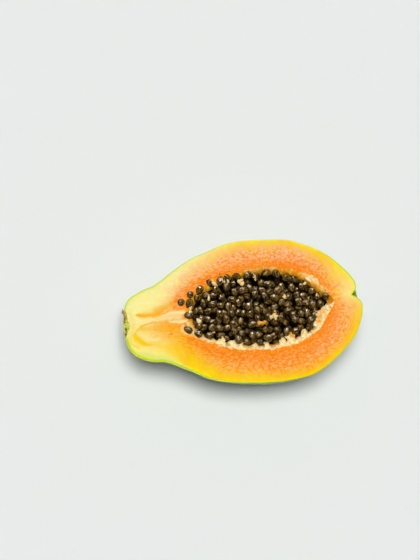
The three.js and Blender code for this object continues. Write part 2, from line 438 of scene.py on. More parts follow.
# Marks in the flesh, by the attribute that shows them. Each has its strength, how sharp its
# sides are, and its line: (along from the stem end, across, half-width), in millimetres.
MARKS = {
    "pale": [  # the cream cords that feed the seeds, from the stem, and lines between the lobes
        (0.5, 2, [(5, 4, 1.5), (9, 3, 2), (14, 2.5, 2)]),
        (0.8, 2.5, [(14, 2.5, 1.5), (24, 3, 2), (31, 3.5, 2.5), (38, 3, 3)]),
        (0.9, 3, [(8, 6.5, 0.2), (15, 4.5, 0.3), (24, 4.5, 0.3), (34, 6.5, 0.8)]),
        (1, 2.5, [(30, 5.5, 1), (36, 6, 2), (43, 5, 1.5)]),
        (1, 2.5, [(31, 0.5, 0.7), (37, -0.5, 1.5), (43, -0.5, 1)]),
        (0.7, 2, [(40, -3, 0.6), (39, -6, 1), (41, -9, 0.6), (45, -11, 0.6)]),
        (0.8, 1.6, [(8, -4, 0.5), (11, -7, 1), (16, -10, 1.5), (23, -11, 0.5)]),
        (0.6, 3, [(4, -7, 0.3), (6, -12, 0.3), (12, -15, 0.3), (21, -17, 0.3)]),
        (0.9, 2.5, [(2.5, -7, 0.3), (5, -5, 0.5), (8, -2, 0.5)]),
        (0.45, 2.5, [(146, 2.5, 0.4), (153, 4, 0.5), (159, 4, 0.5)]),
        (0.4, 2.5, [(139, 13, 0.5), (145, 8, 0.4), (155, 5, 0.5)]),
    ],
    "gold": [  # deep golden streaks beside the cords
        (1, 2, [(9, 7.5, 0.3), (14, 6.5, 2), (20, 6, 2), (28, 7.5, 0.5)]),
        (0.65, 2, [(22, 9, 1.2), (28, 10, 2), (34, 11.5, 2)]),
        (0.2, 2, [(5, 9, 1.5), (6.5, 3, 2), (5, -3, 1)]),
        (1, 3, [(8, -3, 0.3), (14, 0, 0.6), (20, 1, 0.6), (32, 0, 0.3)]),
        (0.6, 2, [(11, -2.5, 1.5), (20, -3, 3), (32, -4, 3)]),
        (0.5, 2, [(145, 3.5, 1), (153, 5, 1)]),
    ],
    "honey": [  # clear yellow, in the lower corner of the neck
        (1, 2, [(9, -2.5, 0.5), (7, -6, 2.5), (8, -9, 3), (12, -13, 1.5), (18, -14, 0.5)]),
        (0.6, 1.6, [(10, -12, 1.5), (18, -14, 2), (34, -20, 3)]),
        (0.8, 2, [(3, -7, 0.6), (4, -12, 0.8), (8, -15, 0.5)]),
    ],
    "ember": [  # the deepest orange: round the first seeds and along the cavity's sides
        (1, 2, [(37, 13, 1.5), (42, 18, 2.5), (49, 22, 2.5), (58, 26, 2.5), (74, 30, 1.5)]),
        (1, 2, [(37, 12, 2), (38, 9, 2), (42, 8, 1)]),
        (1, 2.5, [(37, 3, 0.3), (43, 3, 0.8)]),
        (0.75, 2, [(43, -13, 2), (50, -18, 3), (60, -24, 3.5), (77, -30, 2.5)]),
        (0.7, 2, [(112, 31, 2), (122, 29, 3), (131, 26, 2)]),
        (0.7, 2, [(142, 9, 1), (145, 6, 1), (148, 4.5, 1)]),
    ],
}


def marked(points, marks):
    """How strongly a kind of mark shows at each point: up to its strength along its line, and
    falling off round its half-width, more steeply where it is sharp. The lines waver."""
    waver = [ripples(points, 4 * MM, seed) * 0.2 * MM for seed in (35, 36)]
    spots = points[:, :2] + np.stack(waver, axis=1)
    total = np.zeros(len(points))
    for strength, sharpness, places in marks:
        line = smooth_through(places, 70) * MM
        line[:, 0] += STEM_X
        steps = distance_to(spots, line[:, :2], line[:, 2])
        total = np.maximum(total, strength * np.exp(-(steps**sharpness)))
    return total


# What changes along the fruit, on its upper side and then on its lower one: pairs of the
# place in mm from the stem end, and the value there. The widths are in mm.
BANDS = {
    "yellow": (  # width of the yellow under the skin
        [(0, 17), (20, 16), (38, 12), (56, 8.4), (75, 6.2), (105, 6.4), (130, 5), (140, 6.6),
         (150, 11), (165, 14)],
        [(0, 20), (15, 19), (30, 15), (50, 10.5), (70, 7.5), (100, 5.6), (140, 6.4), (155, 9),
         (165, 10)],
    ),
    "amber": (  # how much nearer to orange it is
        [(0, 0), (165, 0)],
        [(40, 0), (60, 0.06), (110, 0.07), (130, 0.14), (150, 0.16)],
    ),
    "peach": (  # salmon, half-way in
        [(0, 0), (22, 0.1), (45, 0.9), (130, 1), (150, 0.5), (165, 0.3)],
        [(30, 0), (60, 0.3), (120, 0.3), (145, 0.6), (165, 0.5)],
    ),
    "fringe": (  # width of the lining's cream edge
        [(38, 0), (84, 0), (91, 0.7), (110, 0.6), (116, 0), (126, 0.2), (130, 1.4), (137, 1.5),
         (141, 0.6), (145, 0)],
        [(38, 0.9), (44, 1.7), (50, 2.4), (58, 2.2), (64, 1.5), (70, 1.1), (100, 1.1),
         (115, 1.4), (125, 1.4), (132, 1), (138, 0.5), (145, 0)],
    ),
    "ember": (  # deep orange near the cavity
        [(45, 0.8), (90, 0.55), (150, 0.4)],
        [(45, 0.4), (165, 0.35)],
    ),
    "greenish": (  # width of the pale green inside the rind
        [(4, 1.4), (26, 1.2), (50, 0.2), (165, 0)],
        [(4, 2), (12, 5.6), (24, 5), (34, 2.4), (46, 0.3), (165, 0)],
    ),
    "rind": (  # its width on the cut face
        [(0, 0.9), (20, 0.75), (50, 0.6), (70, 0.35), (85, 0), (138, 0), (150, 0.6), (165, 1)],
        [(0, 1.7), (20, 1.6), (40, 1.2), (60, 0.8), (85, 0.45), (165, 0.45)],
    ),
    # the flecks below are partly pale cells and partly painted glints of the moist flesh
    "wet": (  # moist flecks
        [(60, 0), (95, 0.5), (150, 0.4)],
        [(50, 0.3), (85, 0.9), (140, 1), (165, 0.2)],
    ),
}
LONG_LOBE = (158, 6)  # the middle of the pale lobe at the blossom end, in mm
DIMPLE = (160.5, 4.5)  # the scar in the blossom end's dimple, in mm


def by_side(upper, x, above_axis, below_axis):
    """A value that depends on the place along the fruit, given by (along, value) pairs for
    its upper side and its lower one."""
    top, bottom = (np.interp(x, *np.transpose(pairs)) for pairs in (above_axis, below_axis))
    return between(bottom, top, upper)


def paint_fruit(fruit, outer, rim):
    """Works out, for each vertex, what skin, flesh and lining are like there."""
    p = points_of(fruit)
    x, y = (p[:, 0] - STEM_X) / MM, p[:, 1] / MM
    below = (CUT_HEIGHT - p[:, 2]) / MM
    upper = ease(y, -5, 7)
    depth, to_rim = distance_to(p, outer) / MM, distance_to(p, rim) / MM
    band = {name: by_side(upper, x, *sides) for name, sides in BANDS.items()}

    share = depth / (depth + to_rim + 1e-6)
    wander = ripples(p, 15 * MM, 31) * 0.6 + ripples(p, 5 * MM, 32) * 0.3
    inner = (depth + 0.16 * band["yellow"] * wander) / (3 * band["yellow"]) + band["amber"]
    paint(fruit, "inner", np.clip(inner, 0, 1))
    neck = between(0.7 * ease(x, 42, 16), ease(x + 2.4 * depth, 104, 44), upper)
    off_lobe = np.hypot((x - LONG_LOBE[0]) / 11, (y - LONG_LOBE[1]) / 12)
    paint(fruit, "lemon", np.maximum(neck, 0.65 * bell(off_lobe, 0, 1)))
    paint(fruit, "peach", band["peach"] * bell(share, 0.45, 0.32))
    ragged = ripples(p, 4.2 * MM, 33) * 0.4 + ripples(p, 1.9 * MM, 34) * 0.25
    fringe = np.clip((band["fringe"] - to_rim + ragged) / 1.1, 0, 1) * ease(below, 2.4, 0.8)
    paint(fruit, "fringe", fringe * np.clip(band["fringe"], 0, 1))
    near_cavity = ease(to_rim, 8, 2.5) * band["ember"]
    for name, marks in MARKS.items():
        shown = marked(p, marks)
        paint(fruit, name, np.maximum(shown, 0.6 * near_cavity) if name == "ember" else shown)

    off_stem = 1 - ease(x, 10, 6) * ease(y, -9, -6) * ease(y, 14, 11)
    green = ease(depth, band["greenish"] + 0.9, 0.6 * band["greenish"])
    paint(fruit, "green", green * ease(band["greenish"], 0.1, 0.9) * off_stem)
    paint(fruit, "depth", depth)
    rind = ease(depth, band["rind"] + 0.25, 0.5 * band["rind"])
    paint(fruit, "rind", rind * ease(band["rind"], 0, 0.4) * off_stem)
    paint(fruit, "wet", band["wet"] * ease(share, 0.2, 0.34) * ease(share, 0.95, 0.5))
    off_scar = np.hypot(y - SCAR_ASIDE / MM, below) / (SCAR_RADIUS / MM)
    paint(fruit, "scar", ease(x, 12, 8) * ease(off_scar, 1.08, 0.98))
    off_dimple = np.sqrt(((x - DIMPLE[0]) / 2) ** 2 + ((y - DIMPLE[1]) / 2) ** 2 + (below / 4) ** 2)
    paint(fruit, "navel", bell(off_dimple, 0, 1))
    paint(fruit, "dry", ease(off_dimple, 5, 2.5))


# ---------------------------------------------------------------- fruit materials

def ripening(tree, spot, across):
    """Big soft patches, from green to yellow, and yellower towards +Y."""
    patches = add(tree, "TexNoise", {"Vector": spot, "Scale": 1 / (36 * MM), "Detail": 3})
    sunny = add(tree, "MapRange", {"Value": across, "From Min": -45 * MM, "From Max": 50 * MM,
                                   "To Min": -0.12, "To Max": 0.2})
    ripeness = add(tree, "Math", {0: patches, 1: sunny}, operation="ADD")
    return add(tree, "ValToRGB", {"Fac": ripeness},
               ramp=[(0.2, "#4F7A08"), (0.42, "#6F9A0C"), (0.6, "#9FB410"), (0.82, "#D0BC18")])


def skin_colour(tree):
    """The ripening skin, darker underneath and brighter by the cut near the stem, where its
    own lime is lifted as painted light, with freckles and both scars. Returns its grain as well."""
    scar, navel = (add(tree, "Attribute", output="Fac", attribute_name=name)
                   for name in ("scar", "navel"))
    spot = add(tree, "TexCoord", output="Object")
    grain, freckles, flecks = (
        add(tree, "TexNoise", {"Vector": spot, "Scale": 1 / size, "Detail": detail,
                               "Roughness": roughness})
        for size, detail, roughness in ((2.4 * MM, 4, 0.5), (1.5 * MM, 2, 0.5), (1.8 * MM, 4, 0.6)))
    axes = add(tree, "SeparateXYZ", {"Vector": spot}).node.outputs
    along, across, height = (axes[name] for name in "XYZ")
    grained = add(tree, "MixRGB", {"Fac": 0.35, "Color1": ripening(tree, spot, across),
                                   "Color2": grain}, blend_type="OVERLAY")
    shaded, near_cut, near_stem, freckled = (
        add(tree, "MapRange", {"Value": value, "From Min": none, "From Max": full},
            interpolation_type="SMOOTHSTEP")
        for value, none, full in ((height, CUT_HEIGHT - 4 * MM, CUT_HEIGHT - 24 * MM),
                                  (height, CUT_HEIGHT - 7 * MM, CUT_HEIGHT),
                                  (along, STEM_X + 95 * MM, STEM_X + 40 * MM),
                                  (freckles, 0.68, 0.74)))
    cork = add(tree, "ValToRGB", {"Fac": flecks},
               ramp=[(0.36, "#A8B010"), (0.5, "#D2D830"), (0.64, "#ECEC90")])
    colour = layered(
        tree, grained,
        ("#465A12", shaded, 0.9),
        # painted light: a bright lime just under the cut near the stem, over the skin's own lime
        # there
        ("#DCF000", near_cut, near_stem),
        ("#5C7A10", freckled, 0.35),
        (cork, scar),
        ("#2C3310", navel),
    )
    return colour, grain


def skin_material():
    """Papaya skin, waxy and ripening from green to yellow: big soft patches of both, fine
    darker freckles, a pale green scar at the stem and a dark, dry one in the blossom end."""
    material, tree, inputs = new_material("papaya skin, waxy, half ripe", Roughness=0.4,
                                          IOR=1.45, Coat_Weight=0.2, Coat_Roughness=0.22,
                                          Subsurface_Weight=0.1, Subsurface_Scale=1.5 * MM)
    colour, grain = skin_colour(tree)
    bump = add(tree, "Bump", {"Height": grain, "Strength": 0.15, "Distance": 0.3 * MM})
    wire(tree, inputs, Base_Color=colour, Normal=bump)
    dry = add(tree, "Attribute", output="Fac", attribute_name="dry")
    for socket, bare in (("Roughness", 1), ("Coat Weight", 0)):
        waxy = inputs[socket].default_value
        worn = add(tree, "MapRange", {"Value": dry, "To Min": waxy, "To Max": bare})
        tree.links.new(worn, inputs[socket])
    return material


def flesh_grounds(tree, inner):
    """Flesh colours from under the skin to the seeds: yellow to orange in the belly, and
    pale lemon to soft orange in the neck."""
    belly = [(0, "#FFE800"), (0.12, "#FFD400"), (0.28, "#FFC600"), (0.49, "#FFB41A"),
             (0.66, "#FFA022"), (1, "#FF8E18")]
    neck = [(0, "#F9F094"), (0.18, "#FFF299"), (0.42, "#FFE88C"), (0.7, "#FFD178"),
            (1, "#FFB04E")]
    return (add(tree, "ValToRGB", {"Fac": inner}, ramp=stops) for stops in (belly, neck))


def flesh_textures(tree, around, depth):
    """Soft patches, a grain that follows the skin, streaks along the axis, and fine crumbs.
    The grain's own coordinates are the way round the skin and the depth under it."""
    in_metres = add(tree, "Math", {0: depth, 1: MM}, operation="MULTIPLY")
    band = add(tree, "CombineXYZ", {"X": around, "Y": in_metres})
    spot = add(tree, "TexCoord", output="Object")
    along_band = add(tree, "Mapping", {"Vector": band, "Scale": (1 / 1.7, 1, 1)})
    along_axis = add(tree, "Mapping", {"Vector": spot, "Scale": (1 / 9, 1, 1)})
    return (
        add(tree, "TexNoise", {"Vector": where, "Scale": 1 / size, "Detail": detail,
                               "Roughness": roughness, "Distortion": distortion})
        for where, size, detail, roughness, distortion in (
            (spot, 3.4 * MM, 4, 0.6, 0.5), (along_band, 1.5 * MM, 3, 0.62, 0.5),
            (along_axis, 1.6 * MM, 4, 0.6, 0), (spot, 1.3 * MM, 3, 0.6, 0)))


def flesh_colour(tree):
    """Yellow under the skin, golden and then orange towards the seeds in the belly; pale
    lemon in the neck, with gold streaks and cream cords. Returns the patches and the grain
    that mottle it as well."""
    painted = {name: add(tree, "Attribute", output="Fac", attribute_name=name) for name in
               ("inner", "lemon", "peach", "ember", "pale", "gold", "honey", "green", "fringe",
                "wet", "rind", "around", "depth")}
    patches, grain, streaks, crumbs = flesh_textures(tree, painted["around"], painted["depth"])
    fleshy, streaked, pitted, grainy, flecked_with_glints = (
        add(tree, "MapRange", {"Value": value, "From Min": none, "From Max": full},
            interpolation_type="SMOOTHSTEP")
        for value, none, full in ((painted["inner"], 0.2, 0.5), (streaks, 0.5, 0.7),
                                  (grain, 0.52, 0.38), (grain, 0.5, 0.62), (grain, 0.66, 0.73)))
    salmon = add(tree, "MapRange", {"Value": patches, "From Min": 0.36, "From Max": 0.6,
                                    "To Max": 0.9})
    glow = add(tree, "MapRange", {"Value": patches, "From Min": 0.62, "From Max": 0.4,
                                  "To Min": 0.6})
    belly, neck = flesh_grounds(tree, painted["inner"])
    cream = add(tree, "ValToRGB", {"Fac": crumbs}, ramp=[(0.4, "#FFBE4C"), (0.6, "#FFE8B4")])
    colour = layered(
        tree, belly,
        (layered(tree, neck, ("#FFF8C8", streaked, 0.6)), painted["lemon"]),
        ("#FFC094", painted["peach"], salmon),
        ("#FF8406", fleshy, pitted, 0.8),
        ("#FF7E00", painted["ember"], glow),
        (layered(tree, "#FFB248", ("#FFD0A0", painted["peach"])), fleshy, grainy, 0.7),
        ("#FFB400", painted["gold"]),
        ("#FFD000", painted["honey"]),
        ("#E8EA7C", painted["green"]),
        ("#FFE69C", painted["pale"]),
        # pale flecks: partly pale cells, partly painted glints of the moist cut face
        ("#FFE4C4", painted["wet"], flecked_with_glints),
        (cream, painted["fringe"]),
        ("#CBE000", painted["rind"]),
    )
    return colour, patches, grain


def flesh_material():
    """Ripe flesh, freshly cut: mottled with salmon, moist, and slightly see-through."""
    material, tree, inputs = new_material("papaya flesh, fresh cut, moist", Roughness=0.3,
                                          IOR=1.35, Specular_IOR_Level=0,
                                          Subsurface_Weight=0.08, Subsurface_Scale=2 * MM,
                                          Subsurface_Radius=(1, 0.5, 0.15))
    colour, patches, grain = flesh_colour(tree)
    soft = add(tree, "Bump", {"Height": patches, "Strength": 0.4, "Distance": 0.6 * MM})
    bump = add(tree, "Bump", {"Height": grain, "Strength": 0.7, "Distance": 0.3 * MM,
                              "Normal": soft})
    wire(tree, inputs, Base_Color=colour, Normal=bump)
    return material


def lining_material():
    """The cavity's soft inner lining, moist and fibrous: golden orange with cream fibres."""
    material, tree, inputs = new_material("papaya cavity lining, moist", Roughness=0.35,
                                          IOR=1.38, Specular_IOR_Level=0.2,
                                          Subsurface_Weight=0.5, Subsurface_Scale=5 * MM,
                                          Subsurface_Radius=(1, 0.6, 0.1))
    spot = add(tree, "TexCoord", output="Object")
    fibres = add(tree, "TexNoise", {"Vector": spot, "Scale": 1 / (2.2 * MM), "Detail": 4})
    golden = add(tree, "ValToRGB", {"Fac": fibres},
                 ramp=[(0.35, "#FF8E00"), (0.52, "#FFAC14"), (0.66, "#FFD068")])
    fringe = add(tree, "Attribute", output="Fac", attribute_name="fringe")
    bump = add(tree, "Bump", {"Height": fibres, "Strength": 0.6, "Distance": 0.8 * MM})
    wire(tree, inputs, Base_Color=layered(tree, golden, ("#FFE2A4", fringe)), Normal=bump)
    return material


# ---------------------------------------------------------------- seed stalks and scraps

def peg_grid(rng, base, way, length, width, sides=7, rows=6):
    """A tapering stub: rings round a path that sags from the base, each ring a little out of
    round, closed to a point at both ends."""
    t = np.linspace(0, 1, rows + 1)[:, None]
    way = np.asarray(way, float) / np.linalg.norm(way)
    side = np.cross(way, (0.3, 0.2, 1))
    side /= np.linalg.norm(side)
    lift = np.cross(side, way)
    phi = np.linspace(0, 2 * math.pi, sides, endpoint=False)[None, :]
    waists = 1 + 0.18 * np.sin(9 * t + rng.uniform(0, 6))
    taper = (1 - 0.55 * t) * np.sqrt(np.clip(1 - t**3, 0, 1)) * waists
    radius = width / 2 * taper * rng.uniform(0.72, 1.28, (rows + 1, sides))
    radius[0], radius[-1] = 0, 0
    sag = rng.uniform(-0.12, 0.2) * length * t**2
    centre = base + way * length * t + lift * -sag
    ring = np.cos(phi)[..., None] * side + np.sin(phi)[..., None] * lift * 0.8
    return centre[:, None, :] + radius[..., None] * ring


def rim_ways(rim):
    """For each point of the rim: the level way in towards the cavity, how far it is on the
    rim's upper side (0 to 1), and its place along the fruit in millimetres."""
    steps = np.roll(rim, -1, axis=0) - np.roll(rim, 1, axis=0)
    inward = np.stack([-steps[:, 1], steps[:, 0], np.zeros(len(rim))], axis=1)
    inward /= np.linalg.norm(inward, axis=1, keepdims=True)
    inward *= np.sign(((rim.mean(axis=0) - rim) * inward).sum(axis=1))[:, None]
    return inward, ease(rim[:, 1], -3 * MM, 9 * MM), (rim[:, 0] - STEM_X) / MM


TONGUES = [  # where the torn lining runs furthest in from the lower rim, in mm: along, reach
    (58, 2), (64, 6), (72, 5), (77, 4), (87, 3), (95, 4), (107, 5), (113, 8), (123, 5),
    (134, 5), (138, 8), (142, 5),
]
TONGUE_WIDTH = 2.2  # half of it, in mm
LEAST_REACH = 0.4  # between the tongues, in mm
LACE_ROOT = 1.3  # how far outside the rim the lining is torn from, in mm
LACE_END = 41  # where it ends towards the stem, in mm from the stem end
LACE_HOLLOWS = [  # where it sags, golden, in mm: along, across, reach
    (136, -6, 2.5), (134, -12, 1.5), (114, -19, 2), (65, -13, 1.5),
]


def lace_reach(x):
    """LEAST_REACH, and in each tongue more, up to its own reach along its middle line."""
    reach = np.full(np.shape(x), LEAST_REACH)
    for along, furthest in TONGUES:
        swell = (furthest - LEAST_REACH) * bell(x, along, TONGUE_WIDTH)
        reach = np.maximum(reach, LEAST_REACH + swell)
    return reach


def lace_grid(rim):
    """The torn lining's skirt, along the lower side from the blossom end to the stem end. Its
    section is a flattened ring that runs in from the rim and sags, the more so in hollows."""
    inward, _, x = rim_ways(rim)
    tip = int(np.argmax(x))
    part = slice(tip + 2, int(len(x) - np.argmax(x[::-1] > LACE_END)))
    rim, inward, x = rim[part], inward[part], x[part]
    reach = np.maximum(lace_reach(x) + 0.5 * ripples(rim, 1.8 * MM, 71), 0.2)
    place = np.arange(len(rim))
    ends = (ease(place, 0, 10) * ease(place, len(rim) - 1, len(rim) - 15))[:, None]
    turn = np.linspace(0, 2 * math.pi, 26, endpoint=False)[None, :]
    inside = (1 - np.cos(turn)) / 2
    run = ends * (LACE_ROOT + reach[:, None]) * MM
    spot = rim[:, None] + inward[:, None] * (run * inside - LACE_ROOT * MM)[..., None]
    knobs = ripples(spot, 2.4 * MM, 72) * 0.3 + ripples(spot, 1.1 * MM, 73) * 0.2
    tone = 0.08 + 0.2 * knobs
    sag = 0.45 + 1.3 * inside**2 - 0.6 * knobs * inside
    for along, across, wide in LACE_HOLLOWS:
        off_middle = spot[..., :2] - on_face(along, across)[:2]
        hollow = bell(np.linalg.norm(off_middle, axis=-1), 0, wide * MM)
        tone, sag = tone + 1.1 * hollow, sag + 1.6 * hollow
    thick = 0.8 * ends * (1 - 0.4 * inside) * np.sin(turn)
    spot[..., 2] = CUT_HEIGHT + np.minimum(thick - sag, -0.2) * MM
    return spot, np.clip(tone, 0, 1)


STALKS = 60  # stubs round the rim
STALK_REACH = (  # how far in they stand, in mm, given as in BANDS
    [(38, 0.4), (120, 1.2), (147, 2)],
    [(38, 0.8), (60, 1.6), (147, 2.4)],
)
STALK_CROWD = (  # how closely they stand
    [(38, 0), (125, 0.03), (140, 0.2), (147, 0)],
    [(38, 0.1), (52, 0.8), (110, 1), (142, 1), (147, 0)],
)


def build_stalks(rim):
    """The seeds' stalks and the lining they stand on, torn: a ragged cream fringe round the
    lower side of the rim, cut off level with the face, with stubs that stand in from it."""
    rng = np.random.default_rng(41)
    inward, upper, x = rim_ways(rim)
    reach = np.maximum(by_side(upper, x, *STALK_REACH), 0.4 * (1 - upper) * lace_reach(x))
    crowd = by_side(upper, x, *STALK_CROWD)
    lace, tone = lace_grid(rim)
    grids, tones = [lace], [tone]
    for at in rng.choice(len(rim), STALKS, p=crowd / crowd.sum()):
        yaw, pitch = rng.normal(0, 0.5), rng.uniform(-0.5, 0.1)
        c, s = math.cos(yaw), math.sin(yaw)
        out = inward[at]
        way = (c * out[0] - s * out[1], s * out[0] + c * out[1], pitch)
        length = reach[at] * rng.uniform(0.5, 1.6) * MM
        deep = rng.uniform(0, 2.4) * MM
        base = rim[at] - inward[at] * 1.2 * MM
        base[2] = CUT_HEIGHT - 0.5 * MM - deep * 0.8
        grid = peg_grid(rng, base, way, length + 1.6 * MM, rng.uniform(1.4, 2.8) * MM)
        grid[..., 2] = np.minimum(grid[..., 2], CUT_HEIGHT - 0.25 * MM)
        grids.append(grid)
        tones.append(toned(grid, rng.normal(0.1, 0.2) + deep / (8 * MM)))
    stubs = mesh_object("seed_stalks", grids, [stalk_material()], painted={"tone": tones})
    hand_over(stubs)


SCRAPS = [  # bits of lining among the seeds, in mm: along, across, length, width, turn, tone
    (52, -2, 5, 2, -35, 0.05), (46, 7, 5, 2, 80, 0.05), (60, 13, 5, 1.5, 75, 0.2),
    (66, 22, 4, 2.5, -40, 0.15), (72, 24, 4, 1.5, 75, 0.35), (75, 23, 3, 1.5, -60, 0.4),
    (85, 22, 5, 3.5, 50, 0.1), (94, 23, 4, 1.5, -60, 0.15), (131, 18, 5, 3, -50, 0.1),
    (128, 15, 3, 1.5, 60, 0.2), (112, 8, 3, 2, 60, 0.25), (95, -8, 5, 3, 0, 0.85),
    (101, -5, 3, 2.5, 0, 0.1), (105, -5, 4, 3, -60, 0.15), (60, -10, 3, 1, 85, 0.25),
    (134, -8, 5, 1.5, -40, 0.1),
]


def build_scraps():
    """Torn bits of lining and stalks lying among the seeds, each of two strands."""
    rng = np.random.default_rng(43)
    grids, tones = [], []
    for x, y, length, width, turn, tone in SCRAPS:
        for _ in range(2):
            yaw = math.radians(turn) + rng.normal(0, 0.25)
            way = np.array([math.cos(yaw), math.sin(yaw), rng.uniform(-0.25, 0.15)])
            middle = on_face(x, y, rng.uniform(0.6, 1.8))
            middle[:2] += rng.normal(0, 0.25 * width * MM, 2)
            grid = peg_grid(rng, middle - way * length / 2 * MM, way, length * MM,
                            width * MM * rng.uniform(0.9, 1.3), 8, 7)
            grids.append(grid)
            tones.append(toned(grid, tone + rng.normal(0, 0.12)))
    scraps = mesh_object("lining_scraps", grids, [stalk_material()], painted={"tone": tones})
    hand_over(scraps)


SPECKS = [(70, 29, 1.4), (77, 30, 1), (110, 37, 0.8)]  # in mm: along, across, length


def build_specks():
    """Crumbs of seed coat on the cut face."""
    rng = np.random.default_rng(53)
    grids = []
    for x, y, length in SPECKS:
        way = (1, rng.normal(0, 0.5), 0)
        grids.append(peg_grid(rng, on_face(x, y, 0.1), way, length * MM, 0.8 * MM))
    crumb, _, _ = new_material("papaya seed coat, dry crumb", Base_Color=linear("#2A1C0C"),
                               Roughness=0.6)
    hand_over(mesh_object("seed_coat_crumbs", grids, [crumb]))


CORK = [  # groups of knobs on the scar's edge: middle and half-length across, in mm, count, tone
    (11.6, 1.2, 5, 0.2), (6.5, 2.4, 7, 0.4), (-4.2, 3.6, 10, 0.85),
]


def build_cork():
    """Corky knobs in groups along the outer edge of the stem scar."""
    rng = np.random.default_rng(47)
    grids, tones = [], []
    for middle, spread, count, tone in CORK:
        for y in middle + spread * np.linspace(-1, 1, count):
            spot = on_face(rng.uniform(0.7, 1.5), y, -rng.uniform(1.6, 3))
            way = np.array([rng.normal(0, 0.3), 1, rng.normal(0, 0.3)])
            length = rng.uniform(1.2, 2.2) * MM
            grid = peg_grid(rng, spot - way * length / 2, way, length, rng.uniform(1, 1.7) * MM)
            grids.append(grid)
            tones.append(toned(grid, rng.normal(tone, 0.2)))
    knobs = mesh_object("stem_scar_cork", grids, [cork_material()], painted={"tone": tones})
    hand_over(knobs)


def cork_material():
    """Dry cork on the stem scar's edge: rough, from orange-brown to dark brown."""
    material, tree, inputs = new_material("papaya stem scar, dry cork", Roughness=0.8)
    spot = add(tree, "TexCoord", output="Object")
    crumbs = add(tree, "TexNoise", {"Vector": spot, "Scale": 1 / (0.8 * MM), "Detail": 3})
    tone = add(tree, "Attribute", output="Fac", attribute_name="tone")
    bump = add(tree, "Bump", {"Height": crumbs, "Strength": 0.6, "Distance": 0.3 * MM})
    wire(tree, inputs, Base_Color=layered(tree, "#C88A34", ("#4A3210", tone)), Normal=bump)
    return material


def stalk_material():
    """Soft moist stalk tissue, torn: cream, golden where it is thick and wet."""
    name = "papaya seed stalks, torn, moist"
    if name in bpy.data.materials:
        return bpy.data.materials[name]
    material, tree, inputs = new_material(name, Roughness=0.42, IOR=1.38,
                                          Specular_IOR_Level=0.15, Subsurface_Weight=0.1,
                                          Subsurface_Scale=1.5 * MM,
                                          Subsurface_Radius=(1, 0.7, 0.35))
    spot = add(tree, "TexCoord", output="Object")
    crumbs = add(tree, "TexNoise", {"Vector": spot, "Scale": 1 / (1.6 * MM), "Detail": 3,
                                    "Roughness": 0.6})
    cream = add(tree, "ValToRGB", {"Fac": crumbs},
                ramp=[(0.34, "#FFB828"), (0.46, "#FFE08C"), (0.58, "#FFF4CC")])
    tone = add(tree, "Attribute", output="Fac", attribute_name="tone")
    bump = add(tree, "Bump", {"Height": crumbs, "Strength": 0.6, "Distance": 0.6 * MM})
    wire(tree, inputs, Base_Color=layered(tree, cream, ("#F7A408", tone)), Normal=bump)
    return material


# ---------------------------------------------------------------- seeds

def seed_axes(yaw, pitch, spin):
    """A seed's own axes: the long one, the third, turned and pitched from level."""
    along = np.array([math.cos(yaw) * math.cos(pitch), math.sin(yaw) * math.cos(pitch),
                      math.sin(pitch)])
    side = np.cross(along, (0, 0, 1) if abs(along[2]) < 0.9 else (1, 0, 0))
    side /= np.linalg.norm(side)
    lift = np.cross(along, side)
    c, s = math.cos(spin), math.sin(spin)
    return np.stack([c * side + s * lift, c * lift - s * side, along], axis=1)


def fallen_axes(rng):
    """Axes of a seed that fell on the heap: any way round, and mostly lying."""
    return seed_axes(any_turn(rng), rng.normal(0, 0.5), any_turn(rng))


def seed_grid(rng, centre, size, axes, around, rows):
    """One seed: an egg whose radius swells into low ridges from pole to pole, with a dent at
    its blunt end. Returns its points, how near each is to that end, and their places in the
    seed's own axes."""
    theta = np.linspace(0, math.pi, rows)[:, None]
    phi = np.linspace(0, 2 * math.pi, around, endpoint=False)[None, :]
    length, width = SEED_LENGTH * size * rng.uniform(0.92, 1.06), SEED_WIDTH * size
    wave = np.cos((around // 2) * phi + any_turn(rng))
    ridge = 0.035 * wave * np.sin(theta) ** 2 if around > 14 else 0
    swell = 1 + ridge + 0.05 * np.sin(phi + any_turn(rng))
    swell = swell + rng.normal(0, 0.012, (rows, around))
    out = width / 2 * np.sin(theta) ** 0.92 * (1 + 0.13 * np.cos(theta)) * swell
    dent = 1 - 0.12 * np.exp(-((theta / 0.32) ** 2))
    along = length / 2 * np.cos(theta) * dent * np.ones_like(phi)
    local = np.stack([out * np.cos(phi), out * np.sin(phi), along], axis=-1)
    grid = local @ axes.T + centre
    grid[0], grid[-1] = grid[0].mean(axis=0), grid[-1].mean(axis=0)
    return grid, np.exp(-((theta / 0.5) ** 2)) * np.ones_like(phi), local + rng.uniform(0, 1, 3)


def build_seeds(name, seeds, rng, material, around, rows):
    """Seeds in one piece, each given by its centre, size, axes and how much covers it. Painted
    shade darkens each seed down its sides, so that it stands out from the next, and under cover."""
    grids, tips, tones, own = [], [], [], []
    for centre, size, axes, cover in seeds:
        grid, tip, local = seed_grid(rng, centre, size, axes, around, rows)
        grids.append(grid)
        tips.append(tip)
        own.append(local)
        # painted shade: the tone darkens down each seed's sides and the more it is covered, over a
        # random tone of its own
        sides = ease(grid[:, :, 2] - centre[2], 2.5 * MM, 0.3 * MM)
        tones.append(0.3 * rng.uniform() ** 2 + 0.55 * cover + 0.75 * sides)
    return mesh_object(name, grids, [material], painted={"tip": tips, "tone": tones, "own": own})


# The mass below is coloured near black: painted shade for the depth of the heap.
MASS_DEPTH = 7.5 * MM  # the dark mass's level, below the cut face
MASS_LENGTH = 0.94  # its shares of the cavity's length and radius
MASS_RADIUS = 0.9


